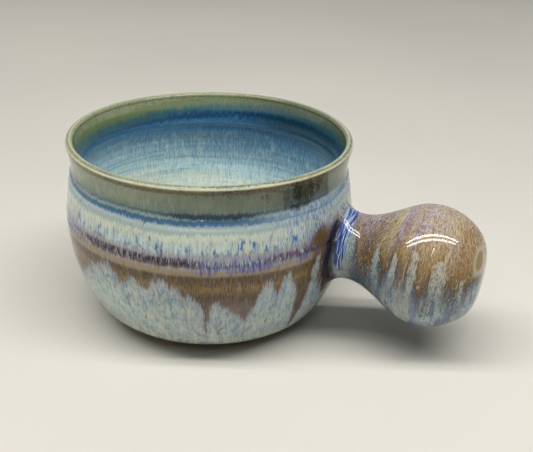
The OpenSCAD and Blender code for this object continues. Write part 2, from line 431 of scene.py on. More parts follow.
def outerFields(angle, run, point):
    # bands and runs aren't quite level round the pot
    height = point[..., 2] + wobble(angle, run, runs["seed"], 0.5, tall=400)
    plain = np.interp(run, sectionRun, section[:, 1]) + wobble(angle, run, runs["seed"], 0.6, tall=400)
    degrees = np.degrees(angle)
    gap, turnUp = neckFields(point)
    patch = bell(np.abs(degrees + 4), 26, 11.0) * np.exp(-((height - 75.5) / 6.0) ** 4)
    maroon = smooth(-135, -112, degrees) * smooth(-66, -82, degrees) + 0.6 * smooth(30, 80, degrees)
    maroon = maroon + 0.45 * bell(degrees, -38, 9.0)
    return {
        "flow": onCircle(angle, bellyRadius, run),
        "rise": plain,
        "brown": brownField(angle, height, gap),
        "patch": patch,
        "maroon": maroon,
        "navyLine": bell(degrees, -66, 17.0) + 0.8 * bell(degrees, 120, 30.0),
        # painted shade: the wall darker on the handle's side of the pot
        "dim": smooth(-112, -42, degrees) * smooth(50, 0, degrees),
        "faded": bell(degrees, -60, 9.0) + bell(degrees, -150, 14.0),
        "busy": bell(np.abs(degrees), 24, 19.0) * smooth(50, 58, height) * smooth(74, 69, height),
        "lined": smooth(18, 32, np.abs(degrees)),
        "neckGap": gap,
        "neckTurn": turnUp,
    }


def innerFields(angle, run):
    # the stripes crowd together towards the floor's middle, and the glaze ran deeper on one side
    depth = run - crest
    radius = np.interp(run, sectionRun, section[:, 0])
    spread = np.where(depth > 50, np.minimum(bellyRadius, radius + 24 * smooth(96, 50, depth)), bellyRadius)
    lean = np.clip(0.5 * np.cos(angle - 0.9) - 0.25, -0.4, 0.25)
    upper = smooth(0, 4, depth) * smooth(17, 12, depth)
    moved = depth + lean * (np.where(lean > 0, 5.0, 9.0) * upper - 18 * smooth(15, 24, depth))
    # painted shade: the inside darker high up on the side away from the lamps
    dusk = smooth(0.02, 0.25, lean) * smooth(28, 13, depth) * (0.5 + 0.5 * smooth(8, 12, depth))
    return {"flow": onCircle(angle, spread, run), "depth": depth, "poured": moved, "dusk": dusk}


# every helper below adds its nodes to the tree that is on the bench
bench = {"tree": None}


def plug(socket, value):
    # joins two sockets, or sets a plain value
    if isinstance(value, bpy.types.NodeSocket):
        bench["tree"].links.new(value, socket)
    else:
        socket.default_value = value


def addNode(kind, inputs=None, **settings):
    node = bench["tree"].nodes.new(kind)
    for key, value in settings.items():
        setattr(node, key, value)
    for key, value in (inputs or {}).items():
        plug(node.inputs[key], value)
    return node


def calc(operation, a, b=0.0, c=0.0):
    return addNode("ShaderNodeMath", {0: a, 1: b, 2: c}, operation=operation).outputs[0]


def ease(value, low, high, toLow=0.0, toHigh=1.0):
    # from one level at low to another at high, with a soft turn at both
    return addNode("ShaderNodeMapRange", {"Value": value, "From Min": low, "From Max": high,
                                          "To Min": toLow, "To Max": toHigh},
                   interpolation_type="SMOOTHSTEP").outputs[0]


def around(value, middle, half):
    # 1 at the middle of a band and 0 at its edges
    return ease(calc("ABSOLUTE", calc("SUBTRACT", value, middle)), half, 0.0)


def times(*factors):
    total = factors[0]
    for factor in factors[1:]:
        total = calc("MULTIPLY", total, factor)
    return total


def drift(noise, amount, onto):
    # moves a height up and down by a noise, for ragged edges
    return calc("MULTIPLY_ADD", calc("SUBTRACT", noise, 0.5), amount, onto)


def readField(name, vector=False):
    node = addNode("ShaderNodeAttribute", attribute_type="GEOMETRY", attribute_name=name)
    return node.outputs["Vector" if vector else "Fac"]


def grain(vector, scale, detail=2.0, rough=0.5, warp=0.0):
    return addNode("ShaderNodeTexNoise", {"Vector": vector, "Scale": scale, "Detail": detail,
                                          "Roughness": rough, "Distortion": warp}).outputs["Fac"]


def drawnGrain(vector, size, shift, detail, rough, warp):
    # noise whose marks have about this size in mm along each axis
    scale, shifts = [1 / s for s in size], (shift, shift * 0.7, shift * 1.3)
    drawn = addNode("ShaderNodeVectorMath", {0: vector, 1: scale, 2: shifts}, operation="MULTIPLY_ADD")
    return grain(drawn.outputs[0], 1.0, detail, rough, warp)


def streaks(flow, width, length, shift=0.0, detail=3.0, rough=0.6, warp=0.0):
    # marks drawn out along the way the glaze ran
    return drawnGrain(flow, (width, width, length), shift, detail, rough, warp)


def bowlStreaks(flow, *shifts):
    # hairs, fine and middling streaks, specks and clouds, as they lie in the wall's glaze and the liner's
    marks = ((0.5, 3.4, 2), (0.9, 6.5), (2.6, 9, 3, 0.55, 0.4), (0.55, 0.9, 2), (3.4, 5.0, 4, 0.65, 1.2))
    return [streaks(flow, *mark[:2], shift, *mark[2:]) for mark, shift in zip(marks, shifts)]


def roundStreaks(ring, width, length, shift=0.0, detail=3.0, rough=0.6, warp=0.0):
    # the same marks, drawn out round the handle
    return drawnGrain(ring, (width, length, length), shift, detail, rough, warp)


def color(red, green, blue):
    # a colour as read from a picture, 0 to 255, turned into Blender's linear values
    parts = [c / 255 for c in (red, green, blue)]
    return tuple(c / 12.92 if c <= 0.04045 else ((c + 0.055) / 1.055) ** 2.4 for c in parts) + (1.0,)


def blendColor(amount, a, b):
    return addNode("ShaderNodeMix", {0: amount, 6: a, 7: b}, data_type="RGBA").outputs[2]


def shadeOf(shade):
    return color(*glaze[shade]) if isinstance(shade, str) else shade


def layers(base, *coats):
    # glazes laid one over the other: each coat is a glaze and what limits it, where a tuple is eased
    for shade, *limits in coats:
        limits = [ease(*limit) if isinstance(limit, tuple) else limit for limit in limits]
        base = blendColor(times(*limits), shadeOf(base), shadeOf(shade))
    return base


def makeGroup(name):
    # an empty glaze, with what it will give to a material
    tree = bpy.data.node_groups.new(name, "ShaderNodeTree")
    for output, kind in (("Color", "Color"), ("Roughness", "Float"), ("Height", "Float")):
        tree.interface.new_socket(output, in_out="OUTPUT", socket_type="NodeSocket" + kind)
    bench["tree"] = tree
    return tree


def endGroup(tree, shade, fine, middle, gloss):
    # gloss and thickness both follow the streaks
    height = calc("MULTIPLY_ADD", fine, 0.3, calc("MULTIPLY", middle, 0.7))
    rough = ease(middle, 0.3, 0.7, *gloss)
    addNode("NodeGroupOutput", {"Color": shade, "Roughness": rough, "Height": height})
    return tree


# the glazes' colours, as they are seen, 0 to 255
glaze = {
    "cream": (218, 220, 194),
    "ice": (190, 212, 214),
    "mist": (168, 186, 184),
    "greyBlue": (126, 148, 166),
    "denim": (66, 120, 176),
    "blue": (42, 96, 142),
    "navy": (12, 52, 76),
    "violet": (60, 66, 142),
    "lavender": (158, 156, 168),
    "mauve": (132, 116, 116),
    "sage": (152, 160, 137),
    "moss": (120, 140, 124),
    "olive": (132, 144, 100),
    "lichen": (160, 168, 128),
    "larkspur": (94, 106, 148),
    "rust": (98, 74, 44),
    "tan": (164, 148, 120),
    "umber": (100, 80, 54),
    "bark": (62, 43, 28),
    "gold": (148, 121, 70),
    "maroon": (46, 16, 38),
    "ink": (16, 12, 34),
    "pine": (26, 38, 28),
    "iris": (84, 96, 168),
    "slateBlue": (92, 112, 156),
    "plum": (84, 50, 76),
    "deepGreen": (2, 36, 46),
    "fern": (124, 140, 94),
    "spruce": (70, 114, 122),
    "lagoon": (48, 106, 148),
    "deepBlue": (26, 78, 128),
    "harbour": (70, 116, 145),
    "haze": (92, 136, 164),
    "frost": (168, 198, 212),
    "glacier": (202, 228, 232),
    "milk": (238, 241, 222),
    "pearl": (216, 225, 208),
    "fjord": (134, 168, 188),
    "shoal": (74, 130, 168),
    "wine": (58, 30, 34),
    "cobalt": (48, 92, 192),
    "night": (20, 22, 84),
    "slate": (98, 110, 128),
    "dim": (74, 82, 98),
    "petal": (194, 186, 190),
    "caramel": (188, 154, 100),
    "straw": (198, 186, 144),
    "honey": (207, 184, 144),
    "amber": (172, 138, 82),
    "heather": (170, 158, 162),
    "lilac": (164, 148, 176),
    "fawn": (156, 136, 128),
    "bisque": (187, 186, 168),
    "orchid": (206, 196, 214),
}


def bandRamp(value, low, high, stops):
    # glazes laid along a length: each stop is a place in mm and a glaze
    node = addNode("ShaderNodeValToRGB", {"Fac": calc("DIVIDE", calc("SUBTRACT", value, low), high - low)})
    elements = node.color_ramp.elements
    while len(elements) < len(stops):
        elements.new(0.5)
    for element, (place, name) in zip(elements, sorted(stops)):
        element.position = (place - low) / (high - low)
        element.color = shadeOf(name)
    return node.outputs[0]


wallLook = {
    # glazes of the wall by height in mm, where no brown covers them
    "bands": [(0, "mist"), (6, "mist"), (9.5, "cream"), (12, "mist"), (22, "ice"), (36, "ice"), (46, "ice"),
              (52, "lavender"), (54.4, "lavender"), (55.8, "ice"), (57.6, "glacier"), (60, "pearl"),
              (62.4, "pearl"), (64, "mist"), (65.4, "mist"), (66.5, "ice"), (67.5, "denim"), (68.5, "blue"),
              (69.2, "spruce"), (70, "mist"), (71, "spruce"), (72, "moss"), (75, "sage"), (80.0, "sage"),
              (80.8, "olive"), (82.9, "olive"), (83.7, "lichen"), (84.4, "lichen")],
    # glazes of the brown runs by height
    "browns": [(8, "bark"), (24, "bark"), (32, "umber"), (36, "umber"), (40, "gold"), (43.4, "umber"),
               (45.2, "umber"), (46.6, "tan"), (49, "tan"), (50.4, "umber"), (58, "umber")],
    # heights of the lavender veil, the blue on the shoulder, the navy line, the dots and the rust
    "veilHeight": 53.8,
    "shoulderHeight": 68.6,
    "navyHeight": 70.9,
    "dotHeight": 72.6,
    "rustHeight": 81.4,
    "gloss": (0.05, 0.11),
}


def wallGlaze():
    tree = makeGroup("wallGlazeColours")
    flow = readField("flow", True)
    rise, brown, patch, neckGap, neckTurn, busy, dim, lined, maroonSide = (readField(name) for name in (
        "rise", "brown", "patch", "neckGap", "neckTurn", "busy", "dim", "lined", "maroon"))
    hair, fine, middle, speck, cloudy = bowlStreaks(flow, 7, 0, 31, 12, 91)
    broad = streaks(flow, 8, 13, 77, 3)
    wide = streaks(flow, 26, 22, 15, 2)
    dash = streaks(flow, 1.2, 4.6, 53, 2, 0.5)
    grit = streaks(flow, 0.7, 0.9, 44, 1, 0.5)
    # how far each noise moves the bands, in mm, below the shoulder and above it
    loose = rise
    for noise, below, above in ((fine, 7.0, 2.2), (hair, 0.0, 2.4), (middle, 0.0, 1.4), (wide, 3.0, 1.6)):
        loose = drift(noise, ease(rise, 63, 67, below, above), loose)
    body = ease(rise, 65, 55)
    under = ease(ease(brown, -17, -2), 0, 1, 0.1, 0.85)
    base = layers(
        bandRamp(loose, 0, 86, wallLook["bands"]),
        # the pale body: cream and blue streaks that hang below the cream band and below the brown
        ("mist", (broad, 0.42, 0.62), body, 0.55),
        ("cream", (middle, 0.5, 0.64), body, 0.8),
        ("greyBlue", (fine, 0.5, 0.36), body, 0.75),
        ("slateBlue", (dash, 0.5, 0.62), body, under, (broad, 0.36, 0.6, 0.3, 0.9)),
        ("greyBlue", (cloudy, 0.46, 0.64), body, 0.5),
        ("cream", (cloudy, 0.5, 0.36), body, 0.4),
        ("cream", (hair, 0.54, 0.68), body, 0.6),
        ("denim", (speck, 0.36, 0.28), (rise, 50, 30), 0.7),
        # painted shade: the lower body a little darker towards the handle
        ("slate", (rise, 46, 32), dim, 0.24),
        # long cobalt and white streaks over the shoulder beside the handle
        ("ice", around(rise, wallLook["shoulderHeight"], 3.2), busy, 0.7),
        ("ice", (fine, 0.5, 0.64), busy, 0.9),
        ("cobalt", (hair, 0.5, 0.38), busy, 0.75),
        ("denim", (dash, 0.44, 0.36), busy, 0.6),
        # blue dashes that hang in clusters from the cream
        ("denim", (dash, 0.55, 0.605), (rise, 54, 57), (rise, 63.5, 60), (broad, 0.4, 0.56)),
        # the lavender veil over the line
        ("lavender", around(drift(fine, 7.0, rise), wallLook["veilHeight"], 2.4),
         (middle, 0.3, 0.6, 0.5, 0.9)))
    # the brown, which thins to mauve along its hem; beside the neck it is rust, and darker close round the
    # neck's lower part, partly glaze pooled there and partly painted shade under the handle
    edge = drift(hair, 7.0, drift(fine, 12.0, drift(middle, 7.0, brown)))
    deepBrown = ease(rise, 47, 45, 0.15, 1.0)
    besideNeck = times(ease(drift(middle, 8.0, neckGap), 16, 8), ease(rise, 58, 53), 0.85)
    browns = layers(
        bandRamp(rise, 8, 60, wallLook["browns"]),
        ("gold", (fine, 0.52, 0.66), 0.6),
        ("bark", (hair, 0.52, 0.36), deepBrown, 0.8),
        ("bark", (speck, 0.46, 0.34), deepBrown, 0.5),
        ("lavender", (middle, 0.56, 0.68), 0.35),
        ("rust", besideNeck),
        # dark close round the neck's lower part: partly glaze pooled there, partly painted shade under the
        # handle
        ("bark", (drift(fine, 5.0, neckGap), 8, 3), besideNeck, 0.8),
        ("mauve", (rise, 36, 28), readField("faded"), 0.8),
        ("mauve", (edge, 2.8, 0), 0.4))
    # the line round the belly: maroon and whole on one side, violet-blue and broken on the other
    lineHeight = runs["lineHeight"]
    whole = times(around(drift(middle, 2.0, drift(fine, 2.4, rise)), lineHeight, 2.8),
                  ease(dash, 0.2, 0.38), ease(middle, 0.28, 0.44, 0.45, 1.0), maroonSide)
    lower = calc("ADD", rise, ease(maroonSide, 0.0, 1.0, 1.4, 0.0))
    broken = times(around(drift(fine, 9.0, lower), lineHeight, 4.4), ease(dash, 0.36, 0.48),
                   ease(maroonSide, 0, 0.8, 1.0, 0.1), lined)
    navy = times(around(drift(fine, 3.0, drift(hair, 2.0, rise)), wallLook["navyHeight"], 2.3),
                 ease(readField("navyLine"), 0.1, 0.8, 0.3, 1.0))
    collar = ease(rise, 71.4, 73.4)
    shadow = ease(drift(cloudy, 1.8, drift(broad, 1.4, patch)), 0.2, 0.75)
    gap = drift(fine, 2.0, neckGap)
    creasePoolAndShade = times(around(gap, 0.6, 4.6), ease(neckTurn, 0.92, 0.72), ease(neckTurn, -0.85, -0.3))
    base = layers(
        base,
        ("lavender", (edge, -5.0, 0.5), 0.5),
        (browns, (edge, -0.8, 1.6)),
        ("iris", broken, 0.85),
        ("violet", broken, (dash, 0.5, 0.58), 0.9),
        ("plum", (whole, 0.02, 0.3), (hair, 0.6, 0.46, 0.35, 0.85)),
        ("maroon", (whole, 0.3, 0.7), (hair, 0.58, 0.46, 0.25, 1.0)),
        ("ice", around(rise, lineHeight, 4.4), (hair, 0.54, 0.62), (maroonSide, 0, 1, 0.8, 0.2), lined),
        # the navy line in the upper groove, ragged below
        ("navy", (navy, 0.0, 0.85)),
        # the collar's cloudy streaks, and dark specks on it beside the handle
        ("moss", collar, (drift(wide, 0.6, middle), 0.44, 0.62), 0.5),
        ("olive", collar, (hair, 0.5, 0.36), 0.35),
        ("mist", collar, (fine, 0.54, 0.66), 0.35),
        # painted shade: the collar darker towards the handle, unevenly
        ("pine", dim, (rise, 70, 74), (rise, 83.2, 82.4), (wide, 0.3, 0.7, 0.3, 0.62)),
        ("pine", shadow, 0.62),
        ("pine", (drift(middle, 1.2, speck), 0.38, 0.54), shadow, 0.85),
        # rust where the glaze breaks over the lip
        ("rust", around(drift(fine, 1.6, rise), wallLook["rustHeight"], 1.1), 0.6),
        ("rust", (drift(broad, 0.6, speck), 0.42, 0.54), (rise, 80.4, 81.2),
         (rise, 84.2, 83.0, 0.45, 0.75)),
        ("pine", (drift(wide, 0.5, grit), 0.56, 0.66), (rise, 77, 81.5), (dim, 0, 1, 0.3, 0.9)),
        ("harbour", (grit, 0.52, 0.64), around(rise, wallLook["dotHeight"], 2.6), 0.7),
        # painted shade in the crease round the near and under side of the handle's root, over glaze pooled
        # dark there
        ("wine", around(gap, 0.6, 2.6), (neckTurn, 0.9, 0.5), 0.9),
        # near-black beside the root: glaze pooled in the corner, darkened further by painted shade
        ("ink", (creasePoolAndShade, 0.08, 0.45)))
    return endGroup(tree, base, fine, middle, wallLook["gloss"])


linerLook = {
    # glazes by distance in mm along the surface from the lip's crest
    "bands": [(-2, "lichen"), (1.6, "lichen"), (3.4, "fern"), (5, "fern"), (7.4, "spruce"),
              (9.4, "spruce"), (11.2, "deepBlue"), (12.4, "deepBlue"), (14.6, "shoal"), (17, "lagoon"),
              (20.5, "shoal"), (25, "haze"), (30, "fjord"), (35, "frost"), (40.5, "glacier"), (48, "milk"),
              (60, "glacier"), (84, "glacier"), (110, "milk")],
    "gloss": (0.05, 0.11),
}


def linerGlaze():
    tree = makeGroup("linerGlazeColours")
    flow = readField("flow", True)
    depth = readField("depth")
    hair, fine, middle, speck, cloudy = bowlStreaks(flow, 9, 5, 41, 22, 61)
    rings = streaks(flow, 40, 1.6, 19, 2, 0.5)
    # how far each noise moves the bands, in mm, more and more between two depths
    loose = readField("poured")
    for noise, start, end, least, most in (
            (fine, 2, 12, 2.5, 6.0), (middle, 3, 9, 1.0, 4.0), (hair, 3, 9, 1.5, 4.0),
            (cloudy, 3, 12, 1.0, 5.0), (rings, 12, 20, 0.0, 14.0)):
        loose = drift(noise, ease(depth, start, end, least, most), loose)
    pale = ease(depth, 18, 34)
    greens = times(ease(depth, 9, 5), ease(depth, 0.4, 1.6))
    base = layers(
        bandRamp(loose, -2, 110, linerLook["bands"]),
        ("milk", (middle, 0.52, 0.66), pale, 0.3),
        ("fjord", (fine, 0.48, 0.36), pale, 0.3),
        ("fjord", (rings, 0.46, 0.36), pale, 0.3),
        ("glacier", (hair, 0.54, 0.66), (depth, 16, 26), 0.35),
        ("deepBlue", (hair, 0.48, 0.36), (depth, 6, 11), 0.3),
        ("sage", (cloudy, 0.5, 0.64), greens, 0.5),
        ("moss", (fine, 0.48, 0.36), greens, 0.5),
        ("olive", (middle, 0.5, 0.64), greens, 0.45),
        ("deepBlue", (speck, 0.44, 0.34), (depth, 6, 12), (depth, 60, 30), 0.4),
        # painted shade on the side away from the lamps, green under the lip and navy below
        (layers("deepGreen", ("navy", (depth, 10, 14))), readField("dusk"), 0.9),
        ("rust", (depth, 8, 2), (speck, 0.5, 0.6), 0.55))
    return endGroup(tree, base, fine, middle, linerLook["gloss"])


def knobSection():
    # distance along the axis and radius, from inside the wall to the tip
    halfLength = knob["radius"] * knob["roundShare"]
    middle = knob["reach"] + knob["tipPress"] - halfLength
    coil = bellyRadius + knob["coilLength"]
    share = knob["blendShare"]
    blendAt = middle - halfLength * share
    blendRadius = knob["radius"] * math.sqrt(1 - share * share)
    slope = share / math.sqrt(1 - share * share) / knob["roundShare"]
    s = np.linspace(0, 1, 60)
    across = knob["neckRadius"] + (blendRadius - knob["neckRadius"]) * soft(s)
    across = across + (blendAt - coil) * slope * (s ** 3 - s ** 2)
    neck = np.stack([coil + (blendAt - coil) * s, across], 1)
    a = np.linspace(math.pi - math.acos(share), 0, 160)[1:]
    press = np.minimum(1, np.sin(a) / 0.7)
    pressed = np.where(a < math.pi / 2, knob["tipPress"] * (1 - press ** 2) ** 2, 0)
    ball = np.stack([middle + halfLength * np.cos(a) - pressed, knob["radius"] * np.sin(a)], 1)
    start = [[coil - knob["neckInside"], knob["neckRadius"]]]
    return evenPath(np.vstack([start, neck, ball]), pot["sectionStep"])


knobPath = knobSection()
knobRun = alongPath(knobPath)
neckPath, neckRun = knobPath[:knob["neckPoints"]], knobRun[:knob["neckPoints"]]


def axisPoint(along, turn, radius):
    # a point round the handle's axis
    side = np.cos(turn)[..., None] * axisUp + np.sin(turn)[..., None] * axisSide
    return axisStart + along[..., None] * axisWay + radius[..., None] * side


def ontoWall(point):
    # the point of the wall at the same angle and height
    return potPoint(np.arctan2(point[..., 1], point[..., 0]), wallRun(point[..., 2]))


turns = np.linspace(-math.pi, math.pi, knob["around"], endpoint=False)


def handleSurface(turn):
    # all rows of the handle's skin at these turns about its axis: the hem on the wall, the fillet, the rest
    near, far = (np.full(turn.shape, place) for place in knob["wallBetween"])
    neckR = np.full(turn.shape, knob["neckRadius"])
    # halving finds where the neck leaves the wall
    for _ in range(30):
        guess = (near + far) / 2
        p = axisPoint(guess, turn, neckR)
        outside = np.hypot(p[:, 0], p[:, 1]) > wallRadius(p[:, 2])
        far = np.where(outside, guess, far)
        near = np.where(outside, near, guess)
    hit = (near + far) / 2
    full = knob["filletBeside"] + (1 - knob["filletBeside"]) * np.cos(turn) ** 2
    filletAlong = knob["filletAlong"] * full
    filletUp = knob["filletUp"] * full
    startAt = hit + filletAlong
    startRun = np.interp(startAt, neckPath[:, 0], neckRun)
    end = axisPoint(startAt, turn, np.interp(startAt, neckPath[:, 0], neckPath[:, 1]))

    def wallAt(out):
        return ontoWall(axisPoint(hit, turn, neckR + out))

    foot = wallAt(filletUp)
    footWay = wallAt(filletUp - 0.4) - foot
    footWay /= np.linalg.norm(footWay, axis=1)[:, None]
    u = np.linspace(0, 1, knob["filletRows"])[:, None, None]
    p1 = foot + footWay * (0.5 * filletUp)[:, None]
    p2 = end - axisWay * (0.5 * filletAlong)[:, None]
    bend = (1 - u) ** 3 * foot + 3 * u * (1 - u) ** 2 * p1 + 3 * u * u * (1 - u) * p2 + u ** 3 * end
    share = np.linspace(0, 1, knob["bodyRows"] + 1)[1:-1, None]
    run = startRun + (knobRun[-1] - 0.6 - startRun) * share
    lumps = wobble(turn, run, knob["seed"], knob["unevenness"], tall=60)
    lumps = lumps * smooth(0, 0.12, share) * smooth(1, 0.8, share)
    along = np.interp(run, knobRun, knobPath[:, 0])
    radius = np.interp(run, knobRun, knobPath[:, 1]) + (lumps - knob["setBack"])
    body = axisPoint(along, turn + 0 * run, radius)
    filletRun = startRun + (u[:, 0] - 1) * (filletAlong + filletUp)
    hem = [wallAt(filletUp + out) for out in knob["hemRows"]]
    hemRun = [filletRun[0] - out for out in knob["hemRows"]]
    return np.concatenate([hem, bend, body]), np.vstack([hemRun, filletRun, run])


handleLook = {
    # how far down from its top the brown reaches, in degrees, by distance along the axis
    "wedges": [(58, 84), (64, 80), (67, 62), (71, 66), (75, 98), (79, 92), (82, 72), (86.5, 90), (90, 74),
               (94.5, 86), (98.5, 76), (103.5, 94), (109, 80), (114.5, 88), (119, 84), (124, 70)],
    "farWedges": [(58, 80), (65, 64), (72, 98), (78, 72), (85, 104), (90, 74), (97, 96), (103, 72),
                  (109, 98), (115, 76), (119, 88), (124, 70)],
    # pale fingers between the browns: place along the axis, half width in mm, top and foot in degrees
    "fingers": [(69.4, 3.4, 40, 104), (82.3, 1.9, 56, 112), (90.6, 1.8, 60, 108), (98.8, 2.0, 53, 114),
                (109.4, 4.0, 57, 114), (118.6, 1.2, 70, 112)],
    "farFingers": [(66, 2.4, 56, 96), (78.5, 2.2, 54, 104), (90, 1.6, 62, 108), (103, 2.8, 50, 106),
                   (115, 1.9, 58, 104)],
    # glazes by distance along the axis where it is brown
    "browns": [(60, "heather"), (66, "heather"), (70.5, "fawn"), (75.5, "heather"), (79, "fawn"),
               (81, "fawn"), (84, "straw"), (86.4, "straw"), (88.3, "lilac"), (89.6, "lilac"),
               (91.6, "caramel"), (94, "honey"), (97, "heather"), (99, "honey"), (112, "honey"),
               (116, "caramel"), (119.5, "caramel"), (124, "honey")],
    # a gold mark in a pale rim on the end: place along the axis, and degrees from its top
    "endMark": (123.0, 35),
    # mean radii in mm that turn degrees round the handle into lengths
    "streakRadius": 22,
    "brownRadius": 24,
    "gloss": (0.04, 0.09),
}


def fallLine(turn, run):
    # where on the handle's side, as run of its section, the glaze that passed here came down
    radius = knobPath[:, 1]
    slope = np.gradient(radius, knobRun)
    widest = np.argmax(radius)
    slope = np.where(np.arange(len(slope)) < widest, np.maximum(slope, 0.05), np.minimum(slope, -0.05))
    pull = np.concatenate([[0], np.cumsum(np.diff(knobRun) / (radius * np.abs(slope))[1:])])
    toward = np.where(run < knobRun[widest], 1, -1)
    here = np.interp(run, knobRun, pull)
    lower = here + toward * 0.5 * np.log(np.minimum(np.sin(turn) ** 2 + 0.25, 1))
    return np.interp(lower, pull, knobRun)


def fingerField(degrees, along, fingers):
    # 1 along the middle of a pale finger and 0 at its edge
    best = 0 * along * degrees
    for place, half, top, foot in fingers:
        down = np.clip((degrees - top) / 11, 0, 1)
        width = half * np.sqrt(down) + 1e-3
        best = np.maximum(best, (1 - ((along - place) / width) ** 2) * smooth(foot, foot - 40, degrees))
    return best


def handleFields(turn, points, along, run):
    degrees = np.degrees(turn) + 0 * along
    nearEdge, farEdge = (easedCurve(along, handleLook[side]) for side in ("wedges", "farWedges"))
    edge = np.where(degrees > 0, nearEdge, farEdge)
    angle = np.arctan2(points[..., 1], points[..., 0])
    fall = fallLine(turn, run)
    near = fingerField(degrees, along, handleLook["fingers"])
    far = fingerField(-degrees, along, handleLook["farFingers"])
    markAlong, markTurn = handleLook["endMark"]
    return {
        **outerFields(angle, wallRun(points[..., 2]), points),
        # its first value runs along the handle
        "ring": onCircle(turn, handleLook["streakRadius"], fall)[..., (2, 0, 1)],
        "warm": (edge - np.abs(degrees)) * math.pi / 180 * handleLook["brownRadius"],
        "fromWall": np.hypot(points[..., 0], points[..., 1]) - wallRadius(points[..., 2]),
        "along": along + 0.4 * np.minimum(fall - run, 0),
        "finger": np.maximum(near, far),
        "press": bell(along, markAlong, 1.7) * bell(degrees, markTurn, 24),
    }


def handleGlaze():
    tree = makeGroup("handleGlazeColours")
    ring = readField("ring", True)
    along, warm, turnUp = (readField(name) for name in ("along", "warm", "neckTurn"))
    hair = roundStreaks(ring, 0.5, 1.9, 4, 2, 0.5, 0.4)
    fine = roundStreaks(ring, 0.85, 4.8, 0, 3, 0.6, 0.8)
    middle = roundStreaks(ring, 2.4, 14, 17, 3, 0.55, 0.7)
    broad = roundStreaks(ring, 7, 18, 29, 2)
    speck = roundStreaks(ring, 0.6, 1.2, 33, 2)
    lengthwise = roundStreaks(ring, 7, 0.8, 47, 2, 0.5, 0.4)
    ribbon = roundStreaks(ring, 2.8, 50, 71, 2, 0.5, 0.3)
    loose = drift(middle, 5.0, drift(broad, 3.0, along))
    edge = drift(hair, 10.0, drift(fine, 24.0, drift(middle, 16.0, warm)))
    top = ease(turnUp, 0.25, 0.85)
    topmost = times(around(along, 99, 16), ease(turnUp, 0.6, 0.88))
    # the marks are calmer on the knob's sides
    lively = ease(times(around(turnUp, 0.5, 0.5), ease(along, 84, 94)), 0, 1, 1.0, 0.28)
    browns = layers(
        bandRamp(loose, 58, 126, handleLook["browns"]),
        ("amber", (turnUp, 0.94, 0.6, 0.0, 0.5)),
        ("gold", (turnUp, 0.75, 0.3, 0.0, 0.5)),
        ("amber", (broad, 0.5, 0.66), 0.4),
        ("petal", (broad, 0.46, 0.32), top, 0.35),
        ("petal", (fine, 0.5, 0.62), (top, 0, 1, 0.1, 0.6),
         (around(along, 94, 14), 0, 0.6, 0.35, 1.0)),
        ("fawn", (middle, 0.5, 0.36), lively, 0.22),
        ("caramel", (middle, 0.54, 0.66), lively, 0.4),
        ("gold", (fine, 0.46, 0.34), lively, 0.3),
        ("umber", (hair, 0.46, 0.32), lively, 0.22),
        ("petal", (speck, 0.54, 0.66), lively, 0.3),
        ("umber", (speck, 0.46, 0.34), lively, 0.25),
        # whiskers that lie along the handle on the knob's top
        ("orchid", (lengthwise, 0.53, 0.58), topmost, 0.75),
        ("fawn", (lengthwise, 0.44, 0.38), topmost, 0.45),
        # painted shade on the neck's sides and underneath, under the knob's swell, over the glaze's own
        # dark brown there; darker too along the foot of the brown
        ("umber", around(loose, 77, 6.5), (turnUp, 0.95, 0.55), 0.8),
        ("gold", (edge, 15, 4), 0.5),
        ("bark", (edge, 7.5, 0.5), 0.75))
    cool = layers(
        "slate",
        ("mist", (broad, 0.42, 0.56)),
        ("greyBlue", (middle, 0.5, 0.62), 0.6),
        ("dim", (middle, 0.46, 0.34), 0.7),
        ("ice", (fine, 0.54, 0.66), 0.6),
        ("larkspur", (fine, 0.46, 0.36), 0.6),
        ("dim", (hair, 0.46, 0.34), 0.5),
        ("ice", (speck, 0.54, 0.66), 0.4),
        ("dim", (speck, 0.46, 0.34), 0.4),
        ("larkspur", (ribbon, 0.53, 0.62), 0.6),
        ("bisque", (ribbon, 0.46, 0.36), 0.5),
        ("dim", (edge, -12, 0), 0.36),
        # painted shade on the underside of the neck
        ("dim", around(along, 76, 13), (turnUp, 0.1, -0.35), 0.9))
    # the pale fingers are mottled and have dark edges
    finger = drift(hair, 1.3, drift(fine, 1.8, drift(middle, 1.2, readField("finger"))))
    pale = layers(
        "mist",
        ("bisque", (along, 72, 96)),
        ("greyBlue", (along, 80, 71, 0.0, 0.2)),
        ("mist", (warm, 6, -12, 0.0, 0.7)),
        ("slate", (speck, 0.5, 0.38), 0.7),
        ("dim", (hair, 0.48, 0.36), 0.6))
    press = drift(fine, 0.3, readField("press"))
    base = layers(
        cool,
        (browns, (edge, -4.0, 3.0)),
        ("bark", around(finger, 0.05, 0.24), (warm, -14, 4), 0.7),
        (pale, (finger, 0.1, 0.85), 0.88),
        # a gold mark in a pale rim on the end of the knob
        ("bisque", (press, 0.1, 0.4), 0.7),
        ("gold", (press, 0.45, 0.7), 0.95))
    return endGroup(tree, base, fine, middle, handleLook["gloss"])


wallColours = wallGlaze()
linerColours = linerGlaze()
handleColours = handleGlaze()


def newMaterial(name):
    material = bpy.data.materials.new(name)
    material.use_nodes = True
    material.node_tree.nodes.clear()
    bench["tree"] = material.node_tree
    return material


def useGroup(group):
    # a glaze's colour, roughness and height
    return addNode("ShaderNodeGroup", node_tree=group).outputs


def surfaceFinish(material, shade, rough, height, strength=0.1, depth=0.0002, ior=1.52):
    # a shiny glaze with a faint bump, unless it is told otherwise
    bump = addNode("ShaderNodeBump", {"Strength": strength, "Distance": depth, "Height": height})
    shader = addNode("ShaderNodeBsdfPrincipled", {"Base Color": shade, "Roughness": rough,
                                                  "Normal": bump.outputs[0], "IOR": ior})
    addNode("ShaderNodeOutputMaterial", {0: shader.outputs[0]})
    return material


def oneCoat(name, group):
    return surfaceFinish(newMaterial(name), *useGroup(group))


